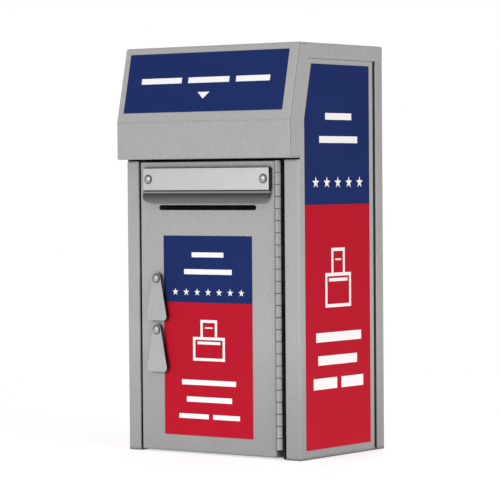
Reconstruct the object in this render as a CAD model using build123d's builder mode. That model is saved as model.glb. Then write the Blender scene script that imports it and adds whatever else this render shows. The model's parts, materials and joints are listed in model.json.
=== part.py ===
# Wall ballot box: a folded sheet steel body with a sloped hood, a hinged front door
# with a ballot slot, two covered cam locks and four vinyl signs.
# Millimetres. X runs right, Y runs back, Z runs up. The origin is the centre of the
# underside of the whole box, hood included.
from build123d import *
import os
from math import hypot

os.makedirs("parts", exist_ok=True)

# Body
body_width = 464.0
body_depth = 314.0
body_height = 876.0
sheet = 3.0
fold_radius = 5.0
inner_fold_radius = fold_radius - sheet
tight_fold_radius = 3.2
edge_rounding = 2.4
overrun = 1.0
arc_slack = 0.02

# Hood, measured from the jamb face and from the top
hood_reach = 32.0
hood_slope_rise = 161.0
hood_fascia_height = 81.0
hood_top_setback = 4.0
hood_top_depth = 31.0
hood_relief = 3.5
hood_seam_width = 0.9
hood_seam_depth = 0.6

# Jambs and door stops, behind the jamb face
latch_jamb_width = 34.5
hinge_jamb_width = 39.7
stop_depth = 29.3
stop_width = 14.0

# Roof, and the reveal between the sides and the back
roof_band = 33.5
band_seam = 0.8
rear_strip = 27.8
reveal_width = 8.2
reveal_depth = 15.0
reveal_foot = 6.0
foot_gap = 0.3
floor_flange = 25.0
floor_gap = 0.5

# Door
door_bottom = 3.4
door_side_gap = 4.9
door_depth = 26.0
slot_side_margin = 50.8
slot_height = 11.1
slot_drop = 100.7

# Hinge
hinge_setin = 54.2
pin_radius = 3.175
pin_clearance = 0.06
leaf_thickness = 3.0
leaf_depth = 24.0
knuckle_pitch = 25.4
knuckle_gap = 1.6
hinge_bottom = 20.0
leaf_notch_gap = 1.2
hinge_angle_sheet = 2.5
hinge_angle_reach = 22.0
hinge_angle_front = 6.0
hinge_rivet_count = 6
hinge_rivet_radius = 2.4
hinge_rivet_head = 4.5
hinge_rivet_height = 1.5
hinge_rivet_depth = 16.0

# Slot cover: clamp bar, drip guard, washers, bolts and nuts
bar_side_margin = 12.5
bar_height = 47.0
bar_thickness = 3.0
bar_drop = 39.5
bar_bolt_setin = 14.5
guard_sheet = 2.0
guard_drop = 49.7
guard_lip_reach = 11.0
guard_flange_drop = 26.0
guard_corner = 21.0
guard_margin = 1.2
washer_thickness = 2.0
washer_radius = 12.0

# Bolts with domed heads
bolt_radius = 4.75
bolt_hole_gap = 0.2
dome_radius = 10.0
dome_height = 4.6
dome_rim = 1.0
nut_width = 14.3
nut_height = 8.0
bolt_tail = 2.0

# Ballot baffle behind the slot
baffle_sheet = 2.0
baffle_flange_inset = 3.7
baffle_flange_height = 44.0
baffle_throat_margin = 11.6
baffle_throat_depth = 58.0
baffle_throat_drop = 57.8

# Locks and lock covers
lock_setin = 49.1
upper_cover_drop = 253.9
cover_spacing = 111.2
lock_drop = 62.0
cover_length = 91.5
cover_bottom_width = 58.0
cover_top_radius = 11.5
cover_corner = 9.0
cover_sheet = 3.0
cover_spacer = 6.5
cover_spacer_radius = 8.0
cover_gap = 0.3
lock_head_radius = 13.0
lock_head_height = 4.0
lock_body_radius = 9.5
lock_body_length = 30.0
lock_nut_width = 26.0
lock_nut_height = 6.0
lock_bore_gap = 0.2
plug_radius = 6.0
plug_clearance = 0.06
keyway_width = 1.8
keyway_height = 8.0
keyway_depth = 18.0
cam_sheet = 3.0
cam_reach = 50.0
cam_width = 16.0
cam_gap = 0.5
cam_screw_radius = 2.5
cam_screw_head = 4.5
cam_screw_height = 2.5
cam_screw_length = 10.0

# Door gasket
gasket_width = 9.0
gasket_overhang = 2.4
gasket_gap = 0.3

# Signs
sign_thickness = 0.3
hood_sign_inset = 18.7
hood_sign_height = 130.6
hood_sign_rise = 20.0
hood_sign_shift = -3.0
front_sign_side_margin = 62.7
front_sign_bottom = 39.0
front_sign_drop = 161.2
side_sign_front = 20.5
side_sign_rear_margin = 17.9
side_sign_bottom = 19.2
side_sign_drop = 44.7

# Fixing holes
fixing_hole_radius = 5.5
back_fixing_spacing_x = 304.8
back_fixing_spacing_z = 609.6
floor_fixing_spacing_x = 304.8
floor_fixing_spacing_y = 177.8

# Derived planes and levels
hood_knee = body_height - hood_slope_rise
hood_bottom = hood_knee - hood_fascia_height
half_width = body_width / 2
jamb_y = (hood_reach - body_depth) / 2
fascia_y = jamb_y - hood_reach
back_y = jamb_y + body_depth
back_inner_y = back_y - sheet
jamb_top = hood_bottom - hood_relief
stop_y = jamb_y + stop_depth
roof_front_y = jamb_y + hood_top_setback + hood_top_depth
hood_top_y = jamb_y + hood_top_setback
band_bottom = body_height - roof_band
side_top = band_bottom - band_seam
reveal_rear_y = back_y - rear_strip
side_rear_y = reveal_rear_y - reveal_width
tongue_x = half_width - reveal_depth

hinge_x = half_width - hinge_setin
leaf_inner = pin_radius + pin_clearance
barrel_radius = leaf_inner + leaf_thickness
hinge_angle_x = hinge_x + barrel_radius
hinge_angle_end = hinge_angle_x + hinge_angle_sheet - hinge_angle_reach
knuckle_count = 2 * int((jamb_top - hinge_bottom) / (2 * knuckle_pitch))
hinge_top = hinge_bottom + knuckle_count * knuckle_pitch
latch_return_x = -half_width + latch_jamb_width
door_left = latch_return_x + door_side_gap
door_right = hinge_x - barrel_radius
door_top = jamb_top
door_middle = (door_left + door_right) / 2
door_width = door_right - door_left
door_inner_y = jamb_y + sheet
door_rear_y = jamb_y + door_depth

slope_run = hood_reach + hood_top_setback
slope_length = hypot(hood_slope_rise, slope_run)
slope_step_y = slope_run / slope_length
slope_step_z = hood_slope_rise / slope_length


def folded_strip(points, radii, side, thickness=sheet):
    """Outline of a folded sheet whose shown faces follow the points."""
    with BuildLine() as strip:
        FilletPolyline(*points, radius=radii)
        offset(amount=thickness, side=side)
    return strip.line


def side_panel(sign, jamb_width, stop_front, name):
    """One side with its hood cheek, jamb, door stop, rear return and tongue."""
    outer = sign * half_width
    return_x = sign * (half_width - jamb_width)
    stop_end_x = sign * (half_width - jamb_width - stop_width)
    tongue = sign * tongue_x
    inward = Side.LEFT if sign > 0 else Side.RIGHT
    rear_fold_y = side_rear_y - reveal_depth
    lower_points = [
        (stop_end_x, stop_front),
        (return_x, stop_front),
        (return_x, jamb_y),
        (outer, jamb_y),
        (outer, side_rear_y),
        (tongue, side_rear_y),
        (tongue, back_inner_y),
    ]
    lower_radii = [inner_fold_radius, fold_radius, fold_radius, fold_radius, inner_fold_radius]
    cheek_front = [
        (jamb_y + fold_radius, jamb_top),
        (jamb_y + fold_radius, hood_bottom),
        (fascia_y, hood_bottom),
        (fascia_y, hood_knee),
        (hood_top_y, body_height),
        (roof_front_y, body_height),
    ]
    cheek_rear = [
        (roof_front_y, body_height),
        (roof_front_y, side_top),
        (rear_fold_y + overrun, side_top),
        (rear_fold_y + overrun, jamb_top),
        (jamb_y + fold_radius, jamb_top),
    ]
    with BuildPart() as panel:
        with BuildSketch(Plane.XY):
            with BuildLine():
                add(folded_strip(lower_points, lower_radii, inward))
            make_face()
        extrude(amount=jamb_top)
        with BuildSketch(Plane.YZ.offset(min(outer, outer - sign * sheet))):
            with BuildLine():
                FilletPolyline(*cheek_front, radius=[0, fold_radius, fold_radius, fold_radius])
                Polyline(*cheek_rear)
            make_face()
        extrude(amount=sheet)
        for covered, plane_x, depth in (
            (sheet, min(outer, outer - sign * sheet), sheet),
            (sheet + hood_seam_width, min(outer, outer - sign * hood_seam_depth), hood_seam_depth),
        ):
            with BuildSketch(Plane.YZ.offset(plane_x)):
                with BuildLine():
                    add(folded_strip(cheek_front[1:], fold_radius, Side.RIGHT, covered))
                make_face()
            extrude(amount=depth, mode=Mode.SUBTRACT)
        with BuildSketch(Plane.XY.offset(jamb_top)):
            with BuildLine():
                add(folded_strip(
                    [(outer, rear_fold_y)] + lower_points[4:],
                    [fold_radius, inner_fold_radius],
                    inward,
                ))
            make_face()
        extrude(amount=side_top - jamb_top)
    panel.part.label = name
    return panel.part


left_side_panel = side_panel(-1, latch_jamb_width, stop_y, "left_side_panel")
right_side_panel = side_panel(1, hinge_jamb_width, stop_y + hinge_angle_sheet, "right_side_panel")

# Hood front: door head stop, underside, fascia, slope and the front of the top. It covers
# the front edge of both cheeks, and a shallow seam on each cheek follows it
hood_points = [
    (stop_y, hood_bottom - hinge_angle_reach),
    (stop_y, hood_bottom),
    (fascia_y, hood_bottom),
    (fascia_y, hood_knee),
    (hood_top_y, body_height),
    (roof_front_y, body_height),
]
hood_radii = [inner_fold_radius, fold_radius, fold_radius, fold_radius]
stop_clear_left = latch_return_x + stop_width
hood_line = Wire.make_polygon([Vector(0, y, z) for y, z in hood_points[1:]], close=False)
with BuildPart() as hood_front:
    with BuildSketch(Plane.YZ.offset(-half_width)):
        with BuildLine():
            add(folded_strip(hood_points, hood_radii, Side.RIGHT))
        make_face()
    extrude(amount=body_width)
    with BuildSketch(Plane.XY.offset(hood_bottom - hinge_angle_reach - overrun)):
        with Locations((-half_width, stop_y + sheet), (half_width, stop_y + sheet)):
            Rectangle(2 * sheet, 2 * (stop_y + sheet - jamb_y - fold_radius))
    extrude(amount=hinge_angle_reach + sheet + 2 * overrun, mode=Mode.SUBTRACT)
    with BuildSketch(Plane.XZ.offset(-stop_y + overrun)):
        with Locations((-half_width, jamb_top - hinge_angle_reach)):
            Rectangle(2 * (half_width + stop_clear_left), 2 * hinge_angle_reach)
        with Locations((half_width, jamb_top - hinge_angle_reach)):
            Rectangle(2 * (half_width - hinge_angle_end), 2 * hinge_angle_reach)
    extrude(amount=-sheet - fold_radius - overrun, mode=Mode.SUBTRACT)
    end_edges = hood_front.edges().filter_by(
        lambda edge: half_width - abs(edge.center().X) < band_seam
        and hood_line.distance_to(Vector(0, edge.center().Y, edge.center().Z)) < sheet / 2 - arc_slack
        and (edge.center().Y < jamb_y or edge.center().Z > hood_knee)
    )
    fillet(end_edges, edge_rounding)
hood_front.part.label = "hood_front"

# Roof: a flat top with a band folded down each side
with BuildPart() as roof_panel:
    with BuildSketch(Plane.XZ.offset(-roof_front_y)):
        with BuildLine():
            add(folded_strip(
                [
                    (-half_width, band_bottom),
                    (-half_width, body_height),
                    (half_width, body_height),
                    (half_width, band_bottom),
                ],
                fold_radius,
                Side.RIGHT,
            ))
        make_face()
    extrude(amount=roof_front_y - back_y)
    rear_edges = roof_panel.faces().sort_by(Axis.Y)[-1].edges().filter_by(
        lambda edge: edge.center().Z > body_height - inner_fold_radius
        or abs(edge.center().X) > half_width - inner_fold_radius / 2
    )
    fillet(rear_edges, edge_rounding)
roof_panel.part.label = "roof_panel"

# Back: a folded pan whose flanges show as the rear strips, with a foot that closes each
# reveal at the ground and four wall fixing holes
foot_front_y = side_rear_y + foot_gap
foot_rear_y = reveal_rear_y + sheet
with BuildPart() as back_panel:
    with BuildSketch(Plane.XY):
        with BuildLine():
            add(folded_strip(
                [
                    (-tongue_x, reveal_rear_y),
                    (-half_width, reveal_rear_y),
                    (-half_width, back_y),
                    (half_width, back_y),
                    (half_width, reveal_rear_y),
                    (tongue_x, reveal_rear_y),
                ],
                [fold_radius, tight_fold_radius, tight_fold_radius, fold_radius],
                Side.RIGHT,
            ))
        make_face()
    extrude(amount=band_bottom)
    with BuildSketch(Plane.XZ.offset(-back_inner_y)):
        with Locations((0, (band_bottom + body_height - sheet - roof_band) / 2)):
            Rectangle(body_width - 2 * fold_radius, body_height - sheet - band_bottom + roof_band)
    extrude(amount=-sheet)
    with BuildSketch(Plane.XY):
        for sign in (-1, 1):
            with Locations((sign * (half_width - reveal_depth / 2), (foot_front_y + foot_rear_y) / 2)):
                Rectangle(reveal_depth - 2 * inner_fold_radius, foot_rear_y - foot_front_y)
    extrude(amount=reveal_foot)
    with BuildSketch(Plane.XZ.offset(-back_y - overrun)):
        with Locations((0, body_height / 2)):
            with GridLocations(back_fixing_spacing_x, back_fixing_spacing_z, 2, 2):
                Circle(fixing_hole_radius)
    extrude(amount=sheet + 2 * overrun, mode=Mode.SUBTRACT)
back_panel.part.label = "back_panel"

# Floor: a plate between the folds of the sides, with a flange up at the front and the back
floor_front_y = stop_y + hinge_angle_sheet + sheet + floor_gap
floor_middle_y = (floor_front_y + back_inner_y) / 2
side_return_front_y = side_rear_y - sheet - inner_fold_radius
floor_flange_left = stop_clear_left
floor_flange_right = hinge_angle_end
with BuildPart() as floor_panel:
    with BuildSketch(Plane.YZ.offset(floor_flange_left)):
        with BuildLine():
            add(folded_strip(
                [
                    (stop_y, floor_flange),
                    (stop_y, 0),
                    (back_inner_y, 0),
                    (back_inner_y, floor_flange),
                ],
                fold_radius,
                Side.LEFT,
            ))
        make_face()
    extrude(amount=floor_flange_right - floor_flange_left)
    with BuildSketch(Plane.XY):
        with Locations((0, (floor_front_y + side_return_front_y) / 2)):
            Rectangle(body_width - 2 * sheet, side_return_front_y - floor_front_y)
        with Locations((0, (side_return_front_y + back_inner_y) / 2 - fold_radius)):
            Rectangle(2 * (tongue_x - sheet), back_inner_y - side_return_front_y)
    extrude(amount=sheet)
    with BuildSketch(Plane.XY.offset(-overrun)):
        with Locations((0, floor_middle_y)):
            with GridLocations(floor_fixing_spacing_x, floor_fixing_spacing_y, 2, 2):
                Circle(fixing_hole_radius)
    extrude(amount=sheet + 2 * overrun, mode=Mode.SUBTRACT)
floor_panel.part.label = "floor_panel"

# Hinge angle: carries the frame leaf, and is the door stop on the hinge side
rivet_span = hinge_top - hinge_bottom - 2 * knuckle_pitch
rivet_levels = [
    hinge_bottom + knuckle_pitch + rivet_span * step / (hinge_rivet_count - 1)
    for step in range(hinge_rivet_count)
]
rivet_y = jamb_y + hinge_rivet_depth
with BuildPart() as hinge_angle:
    with BuildSketch(Plane.XY):
        with BuildLine():
            add(folded_strip(
                [
                    (hinge_angle_end, stop_y),
                    (hinge_angle_x, stop_y),
                    (hinge_angle_x, jamb_y + hinge_angle_front),
                ],
                inner_fold_radius,
                Side.LEFT,
                hinge_angle_sheet,
            ))
        make_face()
    extrude(amount=jamb_top)
    with BuildSketch(Plane.YZ.offset(hinge_angle_x - overrun)):
        with Locations(*[(rivet_y, level) for level in rivet_levels]):
            Circle(hinge_rivet_radius)
    extrude(amount=hinge_angle_sheet + 2 * overrun, mode=Mode.SUBTRACT)
hinge_angle.part.label = "hinge_angle"


def hinge_leaf(sign, first_knuckle, name):
    """One leaf with every second knuckle rolled round the pin."""
    knuckle_length = knuckle_pitch - knuckle_gap
    notch_y = jamb_y + barrel_radius + leaf_notch_gap
    leaf_middle_x = hinge_x + sign * (leaf_inner + leaf_thickness / 2)
    with BuildPart() as leaf:
        with BuildSketch(Plane.XY.offset(hinge_bottom)):
            with Locations((leaf_middle_x, (notch_y + jamb_y + leaf_depth) / 2)):
                Rectangle(leaf_thickness, jamb_y + leaf_depth - notch_y)
        extrude(amount=hinge_top - hinge_bottom)
        for index in range(first_knuckle, knuckle_count, 2):
            with BuildSketch(Plane.XY.offset(hinge_bottom + index * knuckle_pitch + knuckle_gap / 2)):
                with Locations((hinge_x, jamb_y)):
                    Circle(barrel_radius)
                with Locations((leaf_middle_x, (jamb_y + notch_y) / 2)):
                    Rectangle(leaf_thickness, notch_y - jamb_y)
                with Locations((hinge_x, jamb_y)):
                    Circle(leaf_inner, mode=Mode.SUBTRACT)
            extrude(amount=knuckle_length)
        with BuildSketch(Plane.YZ.offset(leaf_middle_x - leaf_thickness)):
            with Locations(*[(rivet_y, level) for level in rivet_levels]):
                Circle(hinge_rivet_radius)
        extrude(amount=2 * leaf_thickness, mode=Mode.SUBTRACT)
    leaf.part.label = name
    return leaf.part


# Counted from the bottom: the lowest knuckle is the door's, the highest is the frame's
door_hinge_leaf = hinge_leaf(-1, 0, "door_hinge_leaf")
frame_hinge_leaf = hinge_leaf(1, 1, "frame_hinge_leaf")

with BuildPart() as hinge_pin:
    with BuildSketch(Plane.XY.offset(hinge_bottom)):
        with Locations((hinge_x, jamb_y)):
            Circle(pin_radius)
    extrude(amount=hinge_top - hinge_bottom)
hinge_pin.part.label = "hinge_pin"


def hinge_rivets(sign, grip, name):
    """A row of rivets through one leaf and the sheet that it lies on."""
    leaf_face_x = hinge_x + sign * leaf_inner
    with BuildPart() as rivets:
        for level in rivet_levels:
            with BuildSketch(Plane.YZ.offset(leaf_face_x)):
                with Locations((rivet_y, level)):
                    Circle(hinge_rivet_radius)
            extrude(amount=sign * grip)
            with BuildSketch(Plane.YZ.offset(leaf_face_x)):
                with Locations((rivet_y, level)):
                    Circle(hinge_rivet_head)
            extrude(amount=-sign * hinge_rivet_height)
            with BuildSketch(Plane.YZ.offset(leaf_face_x + sign * grip)):
                with Locations((rivet_y, level)):
                    Circle(hinge_rivet_head)
            extrude(amount=sign * hinge_rivet_height)
    rivets.part.label = name
    return rivets.part


frame_hinge_rivets = hinge_rivets(1, leaf_thickness + hinge_angle_sheet, "frame_hinge_rivets")
door_hinge_rivets = hinge_rivets(-1, leaf_thickness + sheet, "door_hinge_rivets")

# Door places
slot_length = door_width - 2 * slot_side_margin
slot_level = door_top - slot_drop
bar_length = door_width - 2 * bar_side_margin
bar_level = door_top - bar_drop
bar_bolt_spacing = bar_length - 2 * bar_bolt_setin
upper_cover_level = door_top - upper_cover_drop
lower_cover_level = upper_cover_level - cover_spacing
bar_bolt_places = [(door_middle + side * bar_bolt_spacing / 2, bar_level) for side in (-1, 1)]
lock_x = door_left + lock_setin
cover_levels = [upper_cover_level, lower_cover_level]
cover_bolt_places = [(lock_x, level) for level in cover_levels]
lock_places = [(lock_x, level - lock_drop) for level in cover_levels]
bolt_hole_radius = bolt_radius + bolt_hole_gap

# Door: a pan with rounded folds, open at the rear
with BuildPart() as door_panel:
    with BuildSketch(Plane.XZ.offset(-jamb_y)):
        with Locations((door_middle, (door_bottom + door_top) / 2)):
            Rectangle(door_width, door_top - door_bottom)
    extrude(amount=-door_depth)
    fillet(door_panel.edges().filter_by(Axis.Y), edge_rounding)
    fillet(door_panel.faces().sort_by(Axis.Y)[0].edges(), edge_rounding)
    with BuildSketch(Plane.XZ.offset(-door_inner_y)):
        with Locations((door_middle, (door_bottom + door_top) / 2)):
            Rectangle(door_width - 2 * sheet, door_top - door_bottom - 2 * sheet)
    extrude(amount=-door_depth, mode=Mode.SUBTRACT)
    with BuildSketch(Plane.XZ.offset(overrun - jamb_y)):
        with Locations((door_middle, slot_level)):
            SlotOverall(slot_length, slot_height)
        with Locations(*bar_bolt_places, *cover_bolt_places):
            Circle(bolt_hole_radius)
        with Locations(*lock_places):
            Circle(lock_body_radius + lock_bore_gap)
    extrude(amount=-sheet - 2 * overrun, mode=Mode.SUBTRACT)
    with BuildSketch(Plane.YZ.offset(door_right - sheet - overrun)):
        with Locations(*[(rivet_y, level) for level in rivet_levels]):
            Circle(hinge_rivet_radius)
    extrude(amount=sheet + 2 * overrun, mode=Mode.SUBTRACT)
door_panel.part.label = "door_panel"

# Door gasket: a foam ring on the stops, behind the rim of the door
gasket_front_y = door_rear_y + gasket_gap
gasket_span_x = door_width + 2 * gasket_overhang
gasket_top = hood_bottom - inner_fold_radius - gasket_gap
gasket_span_z = gasket_top - door_bottom
gasket_middle_z = (gasket_top + door_bottom) / 2
with BuildPart() as door_gasket:
    with BuildSketch(Plane.XZ.offset(-gasket_front_y)):
        with Locations((door_middle, gasket_middle_z)):
            Rectangle(gasket_span_x, gasket_span_z)
            Rectangle(
                gasket_span_x - 2 * gasket_width,
                gasket_span_z - 2 * gasket_width,
                mode=Mode.SUBTRACT,
            )
    extrude(amount=gasket_front_y - stop_y)
door_gasket.part.label = "door_gasket"

# Slot cover: the bar clamps the drip guard against two washers
guard_rear_y = jamb_y - washer_thickness
guard_front_y = guard_rear_y - guard_sheet
bar_front_y = guard_front_y - bar_thickness
guard_top = bar_level + bar_height / 2 + guard_margin
guard_lip = bar_level - guard_drop
guard_bend = bar_level - guard_flange_drop
guard_width = bar_length + 2 * guard_margin
guard_round_height = guard_top - guard_lip + 2 * guard_corner
with BuildPart() as clamp_bar:
    with BuildSketch(Plane.XZ.offset(-guard_front_y)):
        with Locations((door_middle, bar_level)):
            Rectangle(bar_length, bar_height)
        with Locations(*bar_bolt_places):
            Circle(bolt_hole_radius, mode=Mode.SUBTRACT)
    extrude(amount=bar_thickness)
clamp_bar.part.label = "clamp_bar"

with BuildPart() as drip_guard:
    with BuildSketch(Plane.YZ.offset(door_middle - guard_width / 2)):
        with BuildLine():
            add(folded_strip(
                [
                    (guard_front_y, guard_top),
                    (guard_front_y, guard_bend),
                    (guard_front_y - guard_lip_reach, guard_lip),
                ],
                fold_radius,
                Side.LEFT,
                guard_sheet,
            ))
        make_face()
    extrude(amount=guard_width)
    with BuildSketch(Plane.XZ.offset(-jamb_y)):
        with Locations((door_middle, (guard_top + guard_lip) / 2)):
            Rectangle(guard_width + 2 * overrun, guard_top - guard_lip + 2 * overrun)
        with Locations((door_middle, guard_lip + guard_round_height / 2)):
            RectangleRounded(guard_width, guard_round_height, guard_corner, mode=Mode.SUBTRACT)
    extrude(amount=hood_reach, mode=Mode.SUBTRACT)
    with BuildSketch(Plane.XZ.offset(-jamb_y)):
        with Locations(*bar_bolt_places):
            Circle(bolt_hole_radius)
    extrude(amount=hood_reach, mode=Mode.SUBTRACT)
drip_guard.part.label = "drip_guard"

with BuildPart() as clamp_bar_washers:
    with BuildSketch(Plane.XZ.offset(-jamb_y)):
        with Locations(*bar_bolt_places):
            Circle(washer_radius)
            Circle(bolt_hole_radius, mode=Mode.SUBTRACT)
    extrude(amount=washer_thickness)
clamp_bar_washers.part.label = "clamp_bar_washers"


def domed_bolts(places, seat_y, end_y, name):
    """Domed bolts whose heads seat on a plane and whose shanks run back."""
    crown_radius = (dome_radius ** 2 + (dome_height - dome_rim) ** 2) / (2 * (dome_height - dome_rim))
    with BuildPart() as bolts:
        for x, z in places:
            with BuildSketch(Plane(origin=(x, seat_y, z), z_dir=(0, 0, 1))):
                with BuildLine():
                    Polyline(
                        (0, end_y - seat_y),
                        (bolt_radius, end_y - seat_y),
                        (bolt_radius, 0),
                        (dome_radius, 0),
                        (dome_radius, -dome_rim),
                    )
                    RadiusArc((dome_radius, -dome_rim), (0, -dome_height), crown_radius)
                    Line((0, -dome_height), (0, end_y - seat_y))
                make_face()
            revolve(axis=Axis((x, seat_y, z), (0, 1, 0)))
    bolts.part.label = name
    return bolts.part


def hex_nuts(places, seat_y, width, height, bore, name):
    """Nuts on the inside of the door."""
    with BuildPart() as nuts:
        with BuildSketch(Plane.XZ.offset(-seat_y)):
            with Locations(*places):
                RegularPolygon(width / 2, 6, major_radius=False)
                Circle(bore, mode=Mode.SUBTRACT)
        extrude(amount=-height)
        chamfer(nuts.faces().sort_by(Axis.Y)[-2:].edges().filter_by(GeomType.LINE), dome_rim / 2)
    nuts.part.label = name
    return nuts.part


bar_nut_seat = door_inner_y + baffle_sheet
clamp_bar_bolts = domed_bolts(
    bar_bolt_places, bar_front_y, bar_nut_seat + nut_height + bolt_tail, "clamp_bar_bolts"
)
clamp_bar_nuts = hex_nuts(
    bar_bolt_places, bar_nut_seat, nut_width, nut_height, bolt_radius, "clamp_bar_nuts"
)

# Ballot baffle: a flange under the bolt nuts, and a deep pocket that turns ballots down
baffle_bend_level = bar_level - baffle_flange_height / 2 + 2 * baffle_sheet
baffle_bottom = slot_level - baffle_throat_drop
baffle_rear_y = door_inner_y + baffle_throat_depth
baffle_flange_length = bar_length - 2 * baffle_flange_inset
baffle_throat_length = slot_length + 2 * baffle_throat_margin
with BuildPart() as ballot_baffle:
    with BuildSketch(Plane.XZ.offset(-door_inner_y)):
        with Locations((door_middle, bar_level)):
            Rectangle(baffle_flange_length, baffle_flange_height)
    extrude(amount=-baffle_sheet)
    with BuildSketch(Plane.YZ.offset(door_middle - baffle_throat_length / 2)):
        with BuildLine():
            Polyline(
                (door_inner_y, baffle_bend_level),
                (door_inner_y, baffle_bottom),
                (baffle_rear_y, baffle_bottom),
                (baffle_rear_y, baffle_bend_level - baffle_throat_depth),
                close=True,
            )
        make_face()
    extrude(amount=baffle_throat_length)
    with BuildSketch(Plane.YZ.offset(door_middle - baffle_throat_length / 2 + baffle_sheet)):
        with BuildLine():
            Polyline(
                (door_inner_y - overrun, baffle_bend_level - 2 * baffle_sheet + overrun),
                (door_inner_y - overrun, baffle_bottom - overrun),
                (baffle_rear_y - baffle_sheet, baffle_bottom - overrun),
                (baffle_rear_y - baffle_sheet, baffle_bend_level - baffle_throat_depth - baffle_sheet),
                close=True,
            )
        make_face()
    extrude(amount=baffle_throat_length - 2 * baffle_sheet, mode=Mode.SUBTRACT)
    with BuildSketch(Plane.XZ.offset(overrun - door_inner_y)):
        with Locations(*bar_bolt_places):
            Circle(bolt_hole_radius)
    extrude(amount=-baffle_sheet - 2 * overrun, mode=Mode.SUBTRACT)
ballot_baffle.part.label = "ballot_baffle"

# Lock covers: teardrop plates that hang from domed bolts in front of the key holes
cover_rear_y = jamb_y - cover_spacer - cover_gap
cover_front_y = cover_rear_y - cover_sheet
cover_bolt_seat = cover_front_y - cover_gap


def lock_cover(level, name):
    """A plate that widens from its pivot to its rounded foot."""
    foot = level - cover_length
    foot_half = cover_bottom_width / 2
    with BuildPart() as cover:
        with BuildSketch(Plane.XZ.offset(-cover_rear_y)) as outline:
            with BuildLine():
                Polyline(
                    (lock_x - cover_top_radius, level),
                    (lock_x - foot_half, foot),
                    (lock_x + foot_half, foot),
                    (lock_x + cover_top_radius, level),
                    close=True,
                )
            make_face()
            with Locations((lock_x, level)):
                Circle(cover_top_radius)
            fillet(outline.vertices().sort_by(Axis.Y)[:2], cover_corner)
            with Locations((lock_x, level)):
                Circle(bolt_radius + pin_clearance, mode=Mode.SUBTRACT)
        extrude(amount=cover_sheet)
    cover.part.label = name
    return cover.part


upper_lock_cover = lock_cover(upper_cover_level, "upper_lock_cover")
lower_lock_cover = lock_cover(lower_cover_level, "lower_lock_cover")

lock_cover_bolts = domed_bolts(
    cover_bolt_places, cover_bolt_seat, door_inner_y + nut_height + bolt_tail, "lock_cover_bolts"
)
lock_cover_nuts = hex_nuts(
    cover_bolt_places, door_inner_y, nut_width, nut_height, bolt_radius, "lock_cover_nuts"
)
with BuildPart() as lock_cover_spacers:
    with BuildSketch(Plane.XZ.offset(-jamb_y)):
        with Locations(*cover_bolt_places):
            Circle(cover_spacer_radius)
            Circle(bolt_hole_radius, mode=Mode.SUBTRACT)
    extrude(amount=cover_spacer)
lock_cover_spacers.part.label = "lock_cover_spacers"

# Cam locks: housing, plug with its keyway, cam and cam screw
lock_body_end_y = door_inner_y + lock_body_length
cam_front_y = lock_body_end_y + cam_gap
cam_rear_y = cam_front_y + cam_sheet
plug_bore = plug_radius + plug_clearance


def lock_housing(level, name):
    """A round head on the door face and a body through the door."""
    with BuildPart() as housing:
        with BuildSketch(Plane.XZ.offset(-jamb_y)):
            with Locations((lock_x, level)):
                Circle(lock_head_radius)
        extrude(amount=lock_head_height)
        fillet(housing.faces().sort_by(Axis.Y)[0].edges(), dome_rim)
        with BuildSketch(Plane.XZ.offset(-jamb_y)):
            with Locations((lock_x, level)):
                Circle(lock_body_radius)
        extrude(amount=jamb_y - lock_body_end_y)
        with BuildSketch(Plane.XZ.offset(lock_head_height + overrun - jamb_y)):
            with Locations((lock_x, level)):
                Circle(plug_bore)
        extrude(
            amount=jamb_y - lock_head_height - lock_body_end_y - 2 * overrun,
            mode=Mode.SUBTRACT,
        )
    housing.part.label = name
    return housing.part


def lock_plug(level, name):
    """The turning core, with the key's slot in its face."""
    with BuildPart() as plug:
        with BuildSketch(Plane.XZ.offset(lock_head_height - jamb_y)):
            with Locations((lock_x, level)):
                Circle(plug_radius)
        extrude(amount=jamb_y - lock_head_height - cam_front_y)
        with BuildSketch(Plane.XZ.offset(lock_head_height - jamb_y)):
            with Locations((lock_x, level)):
                Rectangle(keyway_width, keyway_height)
        extrude(amount=-keyway_depth, mode=Mode.SUBTRACT)
        with BuildSketch(Plane.XZ.offset(-cam_front_y)):
            with Locations((lock_x, level)):
                Circle(cam_screw_radius)
        extrude(amount=cam_screw_length - cam_sheet, mode=Mode.SUBTRACT)
    plug.part.label = name
    return plug.part


def lock_cam(level, name):
    """A flat finger that hangs straight down while the lock is open."""
    with BuildPart() as cam:
        with BuildSketch(Plane.XZ.offset(-cam_front_y)):
            with Locations((lock_x, level - (cam_reach - cam_width / 2) / 2)):
                SlotOverall(cam_reach + cam_width / 2, cam_width, rotation=90)
            with Locations((lock_x, level)):
                Circle(cam_screw_radius, mode=Mode.SUBTRACT)
        extrude(amount=-cam_sheet)
    cam.part.label = name
    return cam.part


def cam_screw(level, name):
    """The screw that holds the cam on the tail of the plug."""
    with BuildPart() as screw:
        with BuildSketch(Plane.XZ.offset(-cam_rear_y)):
            with Locations((lock_x, level)):
                Circle(cam_screw_radius)
        extrude(amount=cam_screw_length)
        with BuildSketch(Plane.XZ.offset(-cam_rear_y)):
            with Locations((lock_x, level)):
                Circle(cam_screw_head)
        extrude(amount=-cam_screw_height)
    screw.part.label = name
    return screw.part


lock_nuts = hex_nuts(
    lock_places, door_inner_y, lock_nut_width, lock_nut_height, lock_body_radius, "lock_nuts"
)
lock_parts = []
for place, (_, lock_level) in zip(("upper", "lower"), lock_places):
    lock_parts.append(lock_housing(lock_level, place + "_lock_housing"))
    lock_parts.append(lock_plug(lock_level, place + "_lock_plug"))
    lock_parts.append(lock_cam(lock_level, place + "_lock_cam"))
    lock_parts.append(cam_screw(lock_level, place + "_cam_screw"))

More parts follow.
